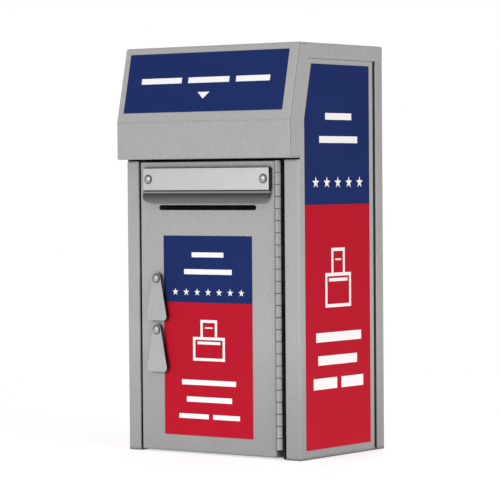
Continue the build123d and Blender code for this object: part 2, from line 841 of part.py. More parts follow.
# Signs: thin vinyl on the hood slope, the door and both sides
slope_normal = (0, -slope_step_z, slope_step_y)
sign_centre_rise = hood_sign_rise + hood_sign_height / 2
slope_plane = Plane(
    origin=(
        hood_sign_shift,
        fascia_y + sign_centre_rise * slope_step_y,
        hood_knee + sign_centre_rise * slope_step_z,
    ),
    x_dir=(1, 0, 0),
    z_dir=slope_normal,
)
with BuildPart() as hood_sign:
    with BuildSketch(slope_plane):
        Rectangle(body_width - 2 * hood_sign_inset, hood_sign_height)
    extrude(amount=sign_thickness)
hood_sign.part.label = "hood_sign"

front_sign_height = door_top - front_sign_drop - front_sign_bottom
with BuildPart() as front_sign:
    with BuildSketch(Plane.XZ.offset(-jamb_y)):
        with Locations((door_middle, front_sign_bottom + front_sign_height / 2)):
            Rectangle(door_width - 2 * front_sign_side_margin, front_sign_height)
    extrude(amount=sign_thickness)
front_sign.part.label = "front_sign"


def side_sign(sign, name):
    """A tall sign whose front edge leans back with the hood above the knee."""
    front = jamb_y + side_sign_front
    rear = side_rear_y - side_sign_rear_margin
    top = body_height - side_sign_drop
    lean = (top - hood_knee) * slope_run / hood_slope_rise
    with BuildPart() as panel_sign:
        with BuildSketch(Plane.YZ.offset(sign * half_width)):
            with BuildLine():
                Polyline(
                    (front, side_sign_bottom),
                    (front, hood_knee),
                    (front + lean, top),
                    (rear, top),
                    (rear, side_sign_bottom),
                    close=True,
                )
            make_face()
        extrude(amount=sign * sign_thickness)
    panel_sign.part.label = name
    return panel_sign.part


pieces = [
    left_side_panel,
    right_side_panel,
    hood_front.part,
    roof_panel.part,
    back_panel.part,
    floor_panel.part,
    hinge_angle.part,
    door_hinge_leaf,
    frame_hinge_leaf,
    hinge_pin.part,
    frame_hinge_rivets,
    door_hinge_rivets,
    door_panel.part,
    door_gasket.part,
    clamp_bar.part,
    drip_guard.part,
    clamp_bar_washers.part,
    clamp_bar_bolts,
    clamp_bar_nuts,
    ballot_baffle.part,
    upper_lock_cover,
    lower_lock_cover,
    lock_cover_bolts,
    lock_cover_nuts,
    lock_cover_spacers.part,
    lock_nuts,
    *lock_parts,
    hood_sign.part,
    front_sign.part,
    side_sign(-1, "left_side_sign"),
    side_sign(1, "right_side_sign"),
]
for piece in pieces:
    export_step(piece, "parts/" + piece.label + ".step")
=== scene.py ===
# Looks of the wall ballot box: coated steel, hinge, fasteners, vinyl signs with their white
# marks, a pale floor and soft studio light. Metres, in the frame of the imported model.
import bpy
import bmesh
import json
import math

from mathutils import Matrix, Vector


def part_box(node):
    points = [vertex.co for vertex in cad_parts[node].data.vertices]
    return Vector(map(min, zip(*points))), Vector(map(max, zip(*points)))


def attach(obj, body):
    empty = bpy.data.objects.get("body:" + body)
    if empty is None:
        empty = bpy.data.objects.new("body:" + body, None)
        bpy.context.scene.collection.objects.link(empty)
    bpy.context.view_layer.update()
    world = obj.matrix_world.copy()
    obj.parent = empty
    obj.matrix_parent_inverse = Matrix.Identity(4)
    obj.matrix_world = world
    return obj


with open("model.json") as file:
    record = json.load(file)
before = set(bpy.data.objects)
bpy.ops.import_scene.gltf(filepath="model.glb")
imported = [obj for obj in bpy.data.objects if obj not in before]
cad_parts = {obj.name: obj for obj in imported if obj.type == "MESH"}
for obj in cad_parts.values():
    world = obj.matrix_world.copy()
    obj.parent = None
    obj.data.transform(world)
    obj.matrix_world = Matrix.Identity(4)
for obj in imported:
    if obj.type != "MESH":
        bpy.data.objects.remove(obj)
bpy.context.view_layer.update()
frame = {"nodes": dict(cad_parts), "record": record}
MM = 0.001

VECTOR = "NodeSocketVector"
COLOR = "NodeSocketColor"
NUMBER = "NodeSocketFloat"


# Helpers for node trees
def feed(tree, value, socket):
    """Links a socket, or sets a constant."""
    if hasattr(value, "links"):
        tree.links.new(value, socket)
    else:
        socket.default_value = value


def shader_group(name, inputs, outputs):
    """An empty shader group with named sockets; returns the tree and its two end nodes."""
    tree = bpy.data.node_groups.new(name, "ShaderNodeTree")
    for label, kind, value in inputs:
        socket = tree.interface.new_socket(label, in_out="INPUT", socket_type=kind)
        if value is not None:
            socket.default_value = value
    for label, kind in outputs:
        tree.interface.new_socket(label, in_out="OUTPUT", socket_type=kind)
    return tree, tree.nodes.new("NodeGroupInput"), tree.nodes.new("NodeGroupOutput")


def noise_node(tree, vector, scale, detail, roughness=0.5):
    """A noise texture; scale may be a socket or a number."""
    node = tree.nodes.new("ShaderNodeTexNoise")
    node.inputs["Detail"].default_value = detail
    node.inputs["Roughness"].default_value = roughness
    tree.links.new(vector, node.inputs["Vector"])
    feed(tree, scale, node.inputs["Scale"])
    return node.outputs["Fac"]


def spread(tree, value, low, high, to_low=0.0, to_high=1.0):
    """Map Range with clamping."""
    node = tree.nodes.new("ShaderNodeMapRange")
    tree.links.new(value, node.inputs["Value"])
    for label, number in (("From Min", low), ("From Max", high), ("To Min", to_low), ("To Max", to_high)):
        feed(tree, number, node.inputs[label])
    return node.outputs["Result"]


def blend_colors(tree, factor, first, second):
    """Mix of two colours by a factor."""
    node = tree.nodes.new("ShaderNodeMix")
    node.data_type = "RGBA"
    feed(tree, factor, node.inputs["Factor"])
    feed(tree, first, node.inputs["A"])
    feed(tree, second, node.inputs["B"])
    return node.outputs["Result"]


def maths(tree, operation, first, second=None):
    """One Math node."""
    node = tree.nodes.new("ShaderNodeMath")
    node.operation = operation
    feed(tree, first, node.inputs[0])
    if second is not None:
        feed(tree, second, node.inputs[1])
    return node.outputs["Value"]


def scaled_color(tree, color, factor):
    """A colour times a number."""
    node = tree.nodes.new("ShaderNodeVectorMath")
    node.operation = "SCALE"
    tree.links.new(color, node.inputs[0])
    tree.links.new(factor, node.inputs["Scale"])
    return node.outputs["Vector"]


def vector_axes(tree, vector):
    """The X, Y and Z of a vector."""
    node = tree.nodes.new("ShaderNodeSeparateXYZ")
    tree.links.new(vector, node.inputs["Vector"])
    return node.outputs


# Shared shader groups. Each takes Object coordinates and gives colours, values or normals.
def build_coat_grain():
    """Powder coat: an orange-peel surface, faint clouds of tone, a mottle and a few pale specks."""
    tree, start, end = shader_group(
        "Coat grain",
        [
            ("Vector", VECTOR, None),
            ("Color", COLOR, (0.5, 0.5, 0.5, 1)),
            ("Cloud Color", COLOR, (0.45, 0.45, 0.45, 1)),
            ("Peel Scale", NUMBER, 700.0),
            ("Cloud Scale", NUMBER, 6.0),
            ("Speck Strength", NUMBER, 0.3),
        ],
        [("Color", COLOR), ("Height", NUMBER), ("Roughness Mask", NUMBER)],
    )
    speck_scale, mottle_scale = 1500.0, 420.0
    speck_color, fleck_height = (0.78, 0.78, 0.77, 1), 0.35
    vector = start.outputs["Vector"]
    peel = noise_node(tree, vector, start.outputs["Peel Scale"], detail=3.0, roughness=0.6)
    cloud = noise_node(tree, vector, start.outputs["Cloud Scale"], detail=4.0, roughness=0.62)
    fleck = noise_node(tree, vector, speck_scale, detail=2.0, roughness=0.7)
    patch = noise_node(tree, vector, mottle_scale, detail=2.0, roughness=0.6)
    tone = blend_colors(
        tree, spread(tree, cloud, 0.35, 0.68), start.outputs["Color"], start.outputs["Cloud Color"]
    )
    mottle = spread(tree, patch, 0.3, 0.7, to_low=0.86, to_high=1.12)
    specks = maths(tree, "MULTIPLY", spread(tree, fleck, 0.62, 0.74), start.outputs["Speck Strength"])
    color = blend_colors(tree, specks, scaled_color(tree, tone, mottle), speck_color)
    height = maths(tree, "ADD", peel, maths(tree, "MULTIPLY", fleck, fleck_height))
    tree.links.new(color, end.inputs["Color"])
    tree.links.new(height, end.inputs["Height"])
    tree.links.new(cloud, end.inputs["Roughness Mask"])
    return tree


def build_brushed_grain():
    """Drawn metal: long fine streaks along the stretched axis, and faint clouds."""
    tree, start, end = shader_group(
        "Brushed grain",
        [
            ("Vector", VECTOR, None),
            ("Color", COLOR, (0.6, 0.6, 0.6, 1)),
            ("Streak Color", COLOR, (0.5, 0.5, 0.5, 1)),
            ("Stretch", VECTOR, (1.0, 60.0, 60.0)),
            ("Streak Scale", NUMBER, 40.0),
        ],
        [("Color", COLOR), ("Height", NUMBER), ("Roughness Mask", NUMBER)],
    )
    cloud_scale, streak_share, cloud_share = 18.0, 0.7, 0.3
    stretch = tree.nodes.new("ShaderNodeVectorMath")
    stretch.operation = "MULTIPLY"
    tree.links.new(start.outputs["Vector"], stretch.inputs[0])
    tree.links.new(start.outputs["Stretch"], stretch.inputs[1])
    streak = noise_node(
        tree, stretch.outputs["Vector"], start.outputs["Streak Scale"], detail=4.0, roughness=0.65
    )
    cloud = noise_node(tree, start.outputs["Vector"], cloud_scale, detail=3.0)
    streaky = spread(tree, streak, 0.3, 0.7, to_high=streak_share)
    cloudy = spread(tree, cloud, 0.4, 0.7, to_high=cloud_share)
    amount = maths(tree, "ADD", streaky, cloudy)
    color = blend_colors(tree, amount, start.outputs["Color"], start.outputs["Streak Color"])
    tree.links.new(color, end.inputs["Color"])
    tree.links.new(streak, end.inputs["Height"])
    tree.links.new(amount, end.inputs["Roughness Mask"])
    return tree


def build_edge_wear_highlight():
    """A mask of the sharp edges, broken up by noise, for wear and a painted highlight, and the normal of
    their rounding.
    """
    tree, start, end = shader_group(
        "Edge wear and painted highlight",
        [("Vector", VECTOR, None), ("Rounding", NUMBER, 0.6 * MM), ("Break Scale", NUMBER, 120.0)],
        [("Mask", NUMBER), ("Normal", VECTOR)],
    )
    bevel = tree.nodes.new("ShaderNodeBevel")
    bevel.samples = 6
    tree.links.new(start.outputs["Rounding"], bevel.inputs["Radius"])
    geometry = tree.nodes.new("ShaderNodeNewGeometry")
    agreement = tree.nodes.new("ShaderNodeVectorMath")
    agreement.operation = "DOT_PRODUCT"
    tree.links.new(bevel.outputs["Normal"], agreement.inputs[0])
    tree.links.new(geometry.outputs["Normal"], agreement.inputs[1])
    edge = spread(tree, agreement.outputs["Value"], 0.999, 0.90)
    patches = noise_node(
        tree, start.outputs["Vector"], start.outputs["Break Scale"], detail=4.0, roughness=0.65
    )
    broken = spread(tree, patches, 0.40, 0.62, to_low=0.25)
    tree.links.new(maths(tree, "MULTIPLY", edge, broken), end.inputs["Mask"])
    tree.links.new(bevel.outputs["Normal"], end.inputs["Normal"])
    return tree


def build_corner_shade():
    """A mask of painted shade in the places where surfaces close in on each other."""
    tree, start, end = shader_group(
        "Painted corner shade",
        [("Vector", VECTOR, None), ("Reach", NUMBER, 12 * MM), ("Closed", NUMBER, 0.35)],
        [("Mask", NUMBER)],
    )
    open_share, cloud_scale = 0.95, 60.0
    corner = tree.nodes.new("ShaderNodeAmbientOcclusion")
    corner.samples = 8
    tree.links.new(start.outputs["Reach"], corner.inputs["Distance"])
    closed = spread(tree, corner.outputs["AO"], open_share, start.outputs["Closed"])
    cloud = noise_node(tree, start.outputs["Vector"], cloud_scale, detail=3.0)
    cloudy = spread(tree, cloud, 0.3, 0.7, to_low=0.7)
    tree.links.new(maths(tree, "MULTIPLY", closed, cloudy), end.inputs["Mask"])
    return tree


def build_painted_recess_shade():
    """A mask of painted shade inside a box, which rises from the recess's mouth to its bottom."""
    tree, start, end = shader_group(
        "Painted recess shade",
        [
            ("Vector", VECTOR, None),
            ("Near Side", NUMBER, 0.0),
            ("Far Side", NUMBER, 1.0),
            ("Mouth", NUMBER, 0.0),
            ("Bottom", NUMBER, 0.01),
            ("Rear", NUMBER, 1.0),
            ("Low Level", NUMBER, 0.0),
            ("High Level", NUMBER, 1.0),
            ("Strength", NUMBER, 1.0),
        ],
        [("Mask", NUMBER)],
    )
    axes = vector_axes(tree, start.outputs["Vector"])
    inside = start.outputs["Strength"]
    for operation, axis, limit in (
        ("GREATER_THAN", "X", "Near Side"),
        ("LESS_THAN", "X", "Far Side"),
        ("LESS_THAN", "Y", "Rear"),
        ("GREATER_THAN", "Z", "Low Level"),
        ("LESS_THAN", "Z", "High Level"),
    ):
        side = maths(tree, operation, axes[axis], start.outputs[limit])
        inside = maths(tree, "MULTIPLY", inside, side)
    depth = spread(tree, axes["Y"], start.outputs["Mouth"], start.outputs["Bottom"])
    tree.links.new(maths(tree, "MULTIPLY", inside, depth), end.inputs["Mask"])
    return tree


def build_height_shade():
    """A factor that runs from one tone to another between two levels."""
    tree, start, end = shader_group(
        "Height shade",
        [
            ("Vector", VECTOR, None),
            ("Low Level", NUMBER, 0.0),
            ("High Level", NUMBER, 1.0),
            ("Low Tone", NUMBER, 1.0),
            ("High Tone", NUMBER, 1.0),
        ],
        [("Tone", NUMBER)],
    )
    level = vector_axes(tree, start.outputs["Vector"])["Z"]
    levels = start.outputs["Low Level"], start.outputs["High Level"]
    tones = start.outputs["Low Tone"], start.outputs["High Tone"]
    tree.links.new(spread(tree, level, *levels, *tones), end.inputs["Tone"])
    return tree


coat_grain = build_coat_grain()
brushed_grain = build_brushed_grain()
edge_wear_highlight = build_edge_wear_highlight()
corner_shade = build_corner_shade()
painted_recess_shade = build_painted_recess_shade()
height_shade = build_height_shade()


# Materials. The Principled BSDF of each stays in the material itself.
def gray(level, warmth=0.0):
    """A neutral colour, a little warm or cool."""
    return (level * (1 + warmth), level, level * (1 - warmth), 1)


class Finish:
    """A new material with its shader, Object coordinates and helpers."""

    def __init__(self, name, **constants):
        self.material = bpy.data.materials.new(name)
        self.material.use_nodes = True
        self.tree = self.material.node_tree
        self.shader = self.tree.nodes["Principled BSDF"]
        self.vector = self.tree.nodes.new("ShaderNodeTexCoord").outputs["Object"]
        for label, value in constants.items():
            self.shader.inputs[label.replace("_", " ")].default_value = value

    def group(self, tree, **values):
        """Places a shared group; values name its inputs."""
        node = self.tree.nodes.new("ShaderNodeGroup")
        node.node_tree = tree
        self.tree.links.new(self.vector, node.inputs["Vector"])
        for label, value in values.items():
            feed(self.tree, value, node.inputs[label.replace("_", " ")])
        return node.outputs

    def noise(self, scale, detail):
        """A noise texture on Object coordinates."""
        return noise_node(self.tree, self.vector, scale, detail)

    def blend(self, factor, first, second):
        """Mix of two colours by a factor."""
        return blend_colors(self.tree, factor, first, second)

    def corner_shaded(self, surface, reach, closed, amount, tone):
        """Paints shade on a surface where others close in on it."""
        mask = self.group(corner_shade, Reach=reach, Closed=closed)["Mask"]
        return self.blend(maths(self.tree, "MULTIPLY", mask, amount), surface, tone)

    def shaded_by_facing(self, surface, axis, lit_share, dark, tone, amount=1.0, signed=False):
        """Paints shade on a surface as its normal's share along an axis goes from the lit share to the dark
        share.
        """
        normal = self.tree.nodes.new("ShaderNodeTexCoord").outputs["Normal"]
        share = vector_axes(self.tree, normal)[axis]
        if not signed:
            share = maths(self.tree, "ABSOLUTE", share)
        return self.blend(spread(self.tree, share, lit_share, dark, to_high=amount), surface, tone)

    def height_tone(self, low_level, high_level, low_tone, high_tone):
        """A factor that runs from one tone to another between two levels."""
        levels = {"Low_Level": low_level, "High_Level": high_level}
        return self.group(height_shade, Low_Tone=low_tone, High_Tone=high_tone, **levels)["Tone"]

    def color(self, value):
        """Feeds Base Color."""
        feed(self.tree, value, self.shader.inputs["Base Color"])

    def roughness(self, mask, low, high):
        """Runs Roughness between two values by a mask."""
        self.tree.links.new(spread(self.tree, mask, 0.3, 0.7, low, high), self.shader.inputs["Roughness"])

    def relief(self, height, distance, strength, normal=None):
        """Bump into the shader's Normal."""
        bump = self.tree.nodes.new("ShaderNodeBump")
        bump.inputs["Distance"].default_value = distance
        bump.inputs["Strength"].default_value = strength
        self.tree.links.new(height, bump.inputs["Height"])
        if normal is not None:
            self.tree.links.new(normal, bump.inputs["Normal"])
        self.tree.links.new(bump.outputs["Normal"], self.shader.inputs["Normal"])


# Near-black tone of the painted shade in joints and recesses
PAINTED_SHADE_TONE = gray(0.006)


def coated_metal(name, level, peel_scale, peel_depth, worn_highlight_level, roughness, warmth=0.0, joints=(),
                 reach=10 * MM, closed=0.35, corner_shade_amount=0.5, corner_shade_tone=0.35, shade=None, bend_highlight=None,
                 side_shade_tone=None):
    """Painted sheet with worn and painted-highlight edges, painted shade in corners and recesses, painted
    shade by height, a painted highlight along a bend and painted shade on side walls.
    """
    finish = Finish(name, Metallic=0.0, IOR=1.5)
    cloud_share = 0.94
    coat = finish.group(
        coat_grain,
        Color=gray(level, warmth),
        Cloud_Color=gray(level * cloud_share, warmth),
        Peel_Scale=peel_scale,
    )
    # Edge wear, which also paints a highlight along the sharp edges
    wear_highlight = finish.group(edge_wear_highlight, Rounding=0.8 * MM)
    surface = finish.blend(wear_highlight["Mask"], coat["Color"], gray(worn_highlight_level, warmth))
    # Painted shade where other surfaces close in
    surface = finish.corner_shaded(surface, reach, closed, corner_shade_amount, gray(level * corner_shade_tone, warmth))
    # Painted shade in joints and recesses
    for recess_box in joints:
        surface = finish.blend(finish.group(painted_recess_shade, **recess_box)["Mask"], surface, PAINTED_SHADE_TONE)
    # Painted shade by height
    if shade:
        surface = scaled_color(finish.tree, surface, finish.height_tone(*shade))
    # A painted highlight along the bend
    if bend_highlight:
        low, high = bend_highlight
        below = finish.height_tone(low - MM, low, 0.0, 1.0)
        above = finish.height_tone(high, high + MM, 1.0, 0.0)
        bend_highlight_mask = maths(finish.tree, "MULTIPLY", below, above)
        surface = finish.blend(bend_highlight_mask, surface, gray(worn_highlight_level, warmth))
    # Painted shade on the faces turned away from the front
    if side_shade_tone:
        surface = finish.shaded_by_facing(surface, "Y", lit_share=0.85, dark=0.4, tone=gray(side_shade_tone))
    finish.color(surface)
    finish.roughness(coat["Roughness Mask"], *roughness)
    finish.relief(coat["Height"], peel_depth, strength=0.5, normal=wear_highlight["Normal"])
    return finish.material


def drawn_metal(name, level, streak_level, stretch, roughness, warmth=0.0, corner_shade_amount=0.5, metallic=1.0,
                rounding=0.4 * MM, rim_shade_start=None, end_shade_tone=None):
    """Bare or plated metal with a directional grain, worn and painted-highlight edges, painted shade in
    corners, and painted shade on the sides of domed heads or plate ends.
    """
    finish = Finish(name, Metallic=metallic)
    worn_highlight_share, corner_shade_share, rim_shade_share = 1.25, 0.2, 0.12
    grain = finish.group(
        brushed_grain,
        Color=gray(level, warmth),
        Streak_Color=gray(streak_level, warmth),
        Stretch=stretch,
    )
    # Edge wear, which also paints a highlight along the sharp edges
    wear_highlight = finish.group(edge_wear_highlight, Rounding=rounding)
    surface = finish.blend(wear_highlight["Mask"], grain["Color"], gray(min(1.0, level * worn_highlight_share), warmth))
    # Painted shade where other surfaces close in
    corner_shade_tone = gray(level * corner_shade_share, warmth)
    surface = finish.corner_shaded(surface, reach=5 * MM, closed=0.35, amount=corner_shade_amount, tone=corner_shade_tone)
    # Painted shade round the rims of domed heads
    if rim_shade_start:
        rim_shade_tone = gray(level * rim_shade_share, warmth)
        surface = finish.shaded_by_facing(
            surface, "Y", lit_share=-rim_shade_start, dark=-0.8, tone=rim_shade_tone, amount=0.95, signed=True
        )
    # Painted shade on the ends of the plate
    if end_shade_tone:
        surface = finish.shaded_by_facing(surface, "X", lit_share=0.5, dark=0.9, tone=gray(end_shade_tone))
    finish.color(surface)
    finish.roughness(grain["Roughness Mask"], *roughness)
    finish.relief(grain["Height"], 0.05 * MM, strength=0.35, normal=wear_highlight["Normal"])
    return finish.material


def foam_rubber(name):
    """Closed cell foam: small cells in near black."""
    finish = Finish(name, Metallic=0.0)
    cells = finish.tree.nodes.new("ShaderNodeTexVoronoi")
    cells.inputs["Scale"].default_value = 900.0
    finish.tree.links.new(finish.vector, cells.inputs["Vector"])
    walls = cells.outputs["Distance"]
    finish.color(finish.blend(spread(finish.tree, walls, 0.0, 0.6), gray(0.012), gray(0.03)))
    finish.roughness(walls, 0.75, 0.95)
    finish.relief(walls, 0.2 * MM, strength=0.6)
    return finish.material


def spangled_zinc(name):
    """Galvanised sheet with its crystal pattern."""
    finish = Finish(name, Metallic=1.0)
    crystals = finish.tree.nodes.new("ShaderNodeTexVoronoi")
    crystals.inputs["Scale"].default_value = 130.0
    finish.tree.links.new(finish.vector, crystals.inputs["Vector"])
    shine = finish.tree.nodes.new("ShaderNodeSeparateColor")
    finish.tree.links.new(crystals.outputs["Color"], shine.inputs["Color"])
    finish.color(finish.blend(shine.outputs["Red"], gray(0.5, -0.02), gray(0.57, -0.02)))
    finish.roughness(shine.outputs["Green"], 0.44, 0.54)
    finish.relief(shine.outputs["Red"], 0.01 * MM, strength=0.2)
    return finish.material


NAVY = (0.0085, 0.0225, 0.1210, 1)
NAVY_CLOUD = (0.0110, 0.0280, 0.1380, 1)
RED = (0.5030, 0.0060, 0.0238, 1)
RED_CLOUD = (0.4790, 0.0055, 0.0208, 1)
SHADOW = gray(0.002)


def sign_vinyl(name, split, shadow=0.0):
    """Printed film, blue above the split level and red below; shadow darkens it close to other pieces."""
    finish = Finish(name, Metallic=0.0, IOR=1.48, Specular_IOR_Level=0.09)
    cloud = finish.noise(scale=9.0, detail=3.0)
    peel = finish.noise(scale=320.0, detail=2.0)
    upper = maths(finish.tree, "GREATER_THAN", vector_axes(finish.tree, finish.vector)["Z"], split)
    blue = finish.blend(cloud, NAVY, NAVY_CLOUD)
    red = finish.blend(cloud, RED, RED_CLOUD)
    surface = finish.blend(upper, red, blue)
    # Painted shadow close to other pieces
    if shadow:
        surface = finish.corner_shaded(surface, reach=12 * MM, closed=0.55, amount=shadow, tone=SHADOW)
    finish.color(surface)
    finish.roughness(cloud, 0.5, 0.6)
    finish.relief(peel, 0.03 * MM, strength=0.3)
    return finish.material


def white_ink(name):
    """Printed white with a faint mottle."""
    finish = Finish(name, Metallic=0.0)
    mottle = finish.noise(scale=260.0, detail=3.0)
    finish.color(finish.blend(mottle, gray(0.92), gray(0.98)))
    finish.roughness(mottle, 0.4, 0.5)
    finish.relief(mottle, 0.02 * MM, strength=0.3)
    return finish.material


# Faces and levels of the imported model that the painted shade in the joints and the marks lie on
body_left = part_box("roof_panel")[0][0]
side_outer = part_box("roof_panel")[1][0]
roof_band_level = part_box("roof_panel")[0][2]
body_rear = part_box("back_panel")[1][1]
latch_side, door_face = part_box("door_panel")[0][:2]
hood_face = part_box("hood_front")[0][1]
hinge_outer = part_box("frame_hinge_leaf")[1][0]
guard_low, guard_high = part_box("drip_guard")
bar_low, bar_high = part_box("clamp_bar")
barrel_radius = 6.235 * MM
hinge_line = hinge_outer - barrel_radius
jamb_edge = side_outer - 39.4 * MM
hood_bottom = 634 * MM
knee_level = 715 * MM
ground = 0.0

# Places where painted shade darkens the joints and recesses of the box, measured on the box
reveal_bottom = side_outer - 15.2 * MM
reveal_lip = side_outer - 0.35 * MM
reveal_front = body_rear - 36.05 * MM
reveal_rear = body_rear - 26.9 * MM
rear_strip_turn = body_rear - 26.3 * MM
latch_gap = 5.3 * MM
groove_near = hinge_line - 9.4 * MM
groove_far = hinge_line - 5.0 * MM
barrel_flank_near = hinge_line + 2.4 * MM
barrel_flank_far = hinge_line + 6.0 * MM
barrel_front = door_face - 12 * MM
barrel_rear = door_face + 2 * MM
bar_shadow = 3.4 * MM
behind_door = door_face + 60 * MM
behind_body = 1.0
HAIR = 0.05 * MM

REVEAL_LEVELS = (ground - MM, roof_band_level - 0.1 * MM)
BODY_LEVELS = (ground - MM, hood_bottom + MM)


def painted_recess_box(across, mouth, rise, rear, levels, strength=1.0):
    """Inputs of the painted recess shade: a box across X, in which painted shade darkens from its mouth
    over a rise to its rear.
    """
    return {
        "Near_Side": across[0],
        "Far_Side": across[1],
        "Mouth": mouth,
        "Bottom": mouth + rise,
        "Rear": rear,
        "Low_Level": levels[0],
        "High_Level": levels[1],
        "Strength": strength,
    }


PAINTED_RECESSES = [
    # Painted shade in the reveal on each side, in front of the rear strips
    painted_recess_box((reveal_bottom, reveal_lip), reveal_front, 0.25 * MM, reveal_rear, REVEAL_LEVELS, 0.82),
    painted_recess_box((-reveal_lip, -reveal_bottom), reveal_front, 0.25 * MM, reveal_rear, REVEAL_LEVELS, 0.82),
    # Painted shade in the slot between the hinge and the right jamb
    painted_recess_box((hinge_outer - HAIR, jamb_edge), door_face + 0.3 * MM, 1.7 * MM, behind_door, BODY_LEVELS),
    # Painted shade in the groove between the door and the barrel
    painted_recess_box((groove_near, groove_far), door_face - MM, 0.5 * MM, behind_door, BODY_LEVELS, 0.62),
    # Painted shade in the gap between the left jamb and the door
    painted_recess_box((latch_side - latch_gap, latch_side + 0.02 * MM), door_face + 0.5 * MM, 3.5 * MM,
               behind_door, BODY_LEVELS),
    # Painted shadow in the gap over the door
    painted_recess_box((latch_side - latch_gap, jamb_edge), door_face - MM, 0.5 * MM, behind_door,
               (hood_bottom - 6.4 * MM, hood_bottom + MM)),
    # Painted shade on the face of the right rear strip, a little darker than the rest of the side
    painted_recess_box((side_outer - 0.8 * MM, side_outer + MM), rear_strip_turn, 2.5 * MM, behind_body,
               REVEAL_LEVELS, 0.09),
    # Painted shade on the right flank of the barrel
    painted_recess_box((barrel_flank_near, barrel_flank_far), barrel_front, MM, barrel_rear, BODY_LEVELS, 0.16),
    # The shadow that the clamp bar's right end throws on the door
    painted_recess_box((guard_high[0], guard_high[0] + bar_shadow), door_face - MM, 0.5 * MM, behind_door,
               (bar_low[2] + MM, bar_high[2] - MM), 0.97),
    # Painted shade along the crease of the hood's knee
    painted_recess_box((-side_outer, side_outer), hood_face - 2 * MM, MM, hood_face + 3 * MM,
               (knee_level - 4 * MM, knee_level + 1.5 * MM), 0.09),
]

# Levels at which the print colours change, and the levels of the painted shade and the painted highlight
FRONT_SPLIT = 325.9 * MM
SIDE_SPLIT = 535 * MM
# Painted shadow on the drip guard, darker towards the clamp bar
painted_guard_shadow = (guard_low[2] + 3 * MM, guard_low[2] + 17 * MM, 1.0, 0.2)
# Where the painted highlight along the drip guard's bend lies
guard_bend_highlight = (guard_high[2] - 54.2 * MM, guard_high[2] - 51.8 * MM)
# Painted shade on the coated steel, darker towards the floor
painted_foot_shade = (ground, 260 * MM, 0.72, 1.0)

white_print = white_ink("white_print")
hood_vinyl = sign_vinyl("hood_vinyl", ground)
front_vinyl = sign_vinyl("front_vinyl", FRONT_SPLIT, shadow=0.95)
FINISHES = {
    "coated_steel": coated_metal(
        "coated_steel", level=0.418, peel_scale=700.0, peel_depth=0.05 * MM, worn_highlight_level=0.56,
        roughness=(0.42, 0.55), joints=PAINTED_RECESSES, reach=9 * MM, closed=0.55, corner_shade_amount=0.9, corner_shade_tone=0.04,
        shade=painted_foot_shade,
    ),
    "dark_coat": coated_metal(
        "dark_coat", level=0.15, peel_scale=260.0, peel_depth=0.12 * MM, worn_highlight_level=0.30,
        roughness=(0.5, 0.65), warmth=0.02, reach=20 * MM, corner_shade_amount=0.9, shade=painted_guard_shadow, bend_highlight=guard_bend_highlight,
    ),
    "hinge_steel": coated_metal(
        "hinge_steel", level=0.385, peel_scale=900.0, peel_depth=0.05 * MM, worn_highlight_level=0.5,
        roughness=(0.45, 0.6), warmth=0.01, joints=PAINTED_RECESSES, reach=6 * MM, corner_shade_amount=1.0, corner_shade_tone=0.05,
    ),
    "cover_steel": coated_metal(
        "cover_steel", level=0.440, peel_scale=800.0, peel_depth=0.05 * MM, worn_highlight_level=0.6,
        roughness=(0.4, 0.5), side_shade_tone=0.006,
    ),
    "brushed_stainless": drawn_metal(
        "brushed_stainless", level=0.65, streak_level=0.57, stretch=(1.0, 60.0, 60.0),
        roughness=(0.42, 0.52), metallic=0.55, rounding=1.2 * MM, end_shade_tone=0.01,
    ),
    "zinc_hardware": drawn_metal(
        "zinc_hardware", level=0.52, streak_level=0.42, stretch=(8.0, 8.0, 8.0),
        roughness=(0.38, 0.5), warmth=0.015, corner_shade_amount=0.9, metallic=0.7, rim_shade_start=0.95,
    ),
    "lock_chrome": drawn_metal(
        "lock_chrome", level=0.74, streak_level=0.68, stretch=(5.0, 5.0, 5.0), roughness=(0.12, 0.2)
    ),
    "lock_core": drawn_metal(
        "lock_core", level=0.62, streak_level=0.52, stretch=(5.0, 5.0, 5.0), roughness=(0.22, 0.3),
        warmth=0.05,
    ),
    "cam_steel": drawn_metal(
        "cam_steel", level=0.5, streak_level=0.42, stretch=(20.0, 20.0, 3.0), roughness=(0.35, 0.5)
    ),
    "gasket_foam": foam_rubber("gasket_foam"),
    "galvanised_steel": spangled_zinc("galvanised_steel"),
    "sign_vinyl": sign_vinyl("side_vinyl", SIDE_SPLIT),
}
for row in frame["record"]["subparts"]:
    node_materials = frame["nodes"][row["node"]].data.materials
    node_materials.clear()
    node_materials.append(FINISHES[row["material_slot"]])
for node, vinyl in (("hood_sign", hood_vinyl), ("front_sign", front_vinyl)):
    frame["nodes"][node].data.materials[0] = vinyl


# Geometry Nodes trees for the marks that repeat on the signs
def geometry_tree(name, inputs):
    """A tree with a Geometry input and output, and named inputs."""
    tree = bpy.data.node_groups.new(name, "GeometryNodeTree")
    tree.interface.new_socket("Geometry", in_out="INPUT", socket_type="NodeSocketGeometry")
    for label, kind, value in inputs:
        socket = tree.interface.new_socket(label, in_out="INPUT", socket_type=kind)
        if value is not None:
            socket.default_value = value
    tree.interface.new_socket("Geometry", in_out="OUTPUT", socket_type="NodeSocketGeometry")
    return tree, tree.nodes.new("NodeGroupInput"), tree.nodes.new("NodeGroupOutput")


def close_tree(tree, start, end, instances):
    """Realize Instances, then Set Material, then the output."""
    realise = tree.nodes.new("GeometryNodeRealizeInstances")
    paint = tree.nodes.new("GeometryNodeSetMaterial")
    tree.links.new(instances, realise.inputs["Geometry"])
    tree.links.new(realise.outputs["Geometry"], paint.inputs["Geometry"])
    tree.links.new(start.outputs["Ink"], paint.inputs["Material"])
    tree.links.new(paint.outputs["Geometry"], end.inputs["Geometry"])


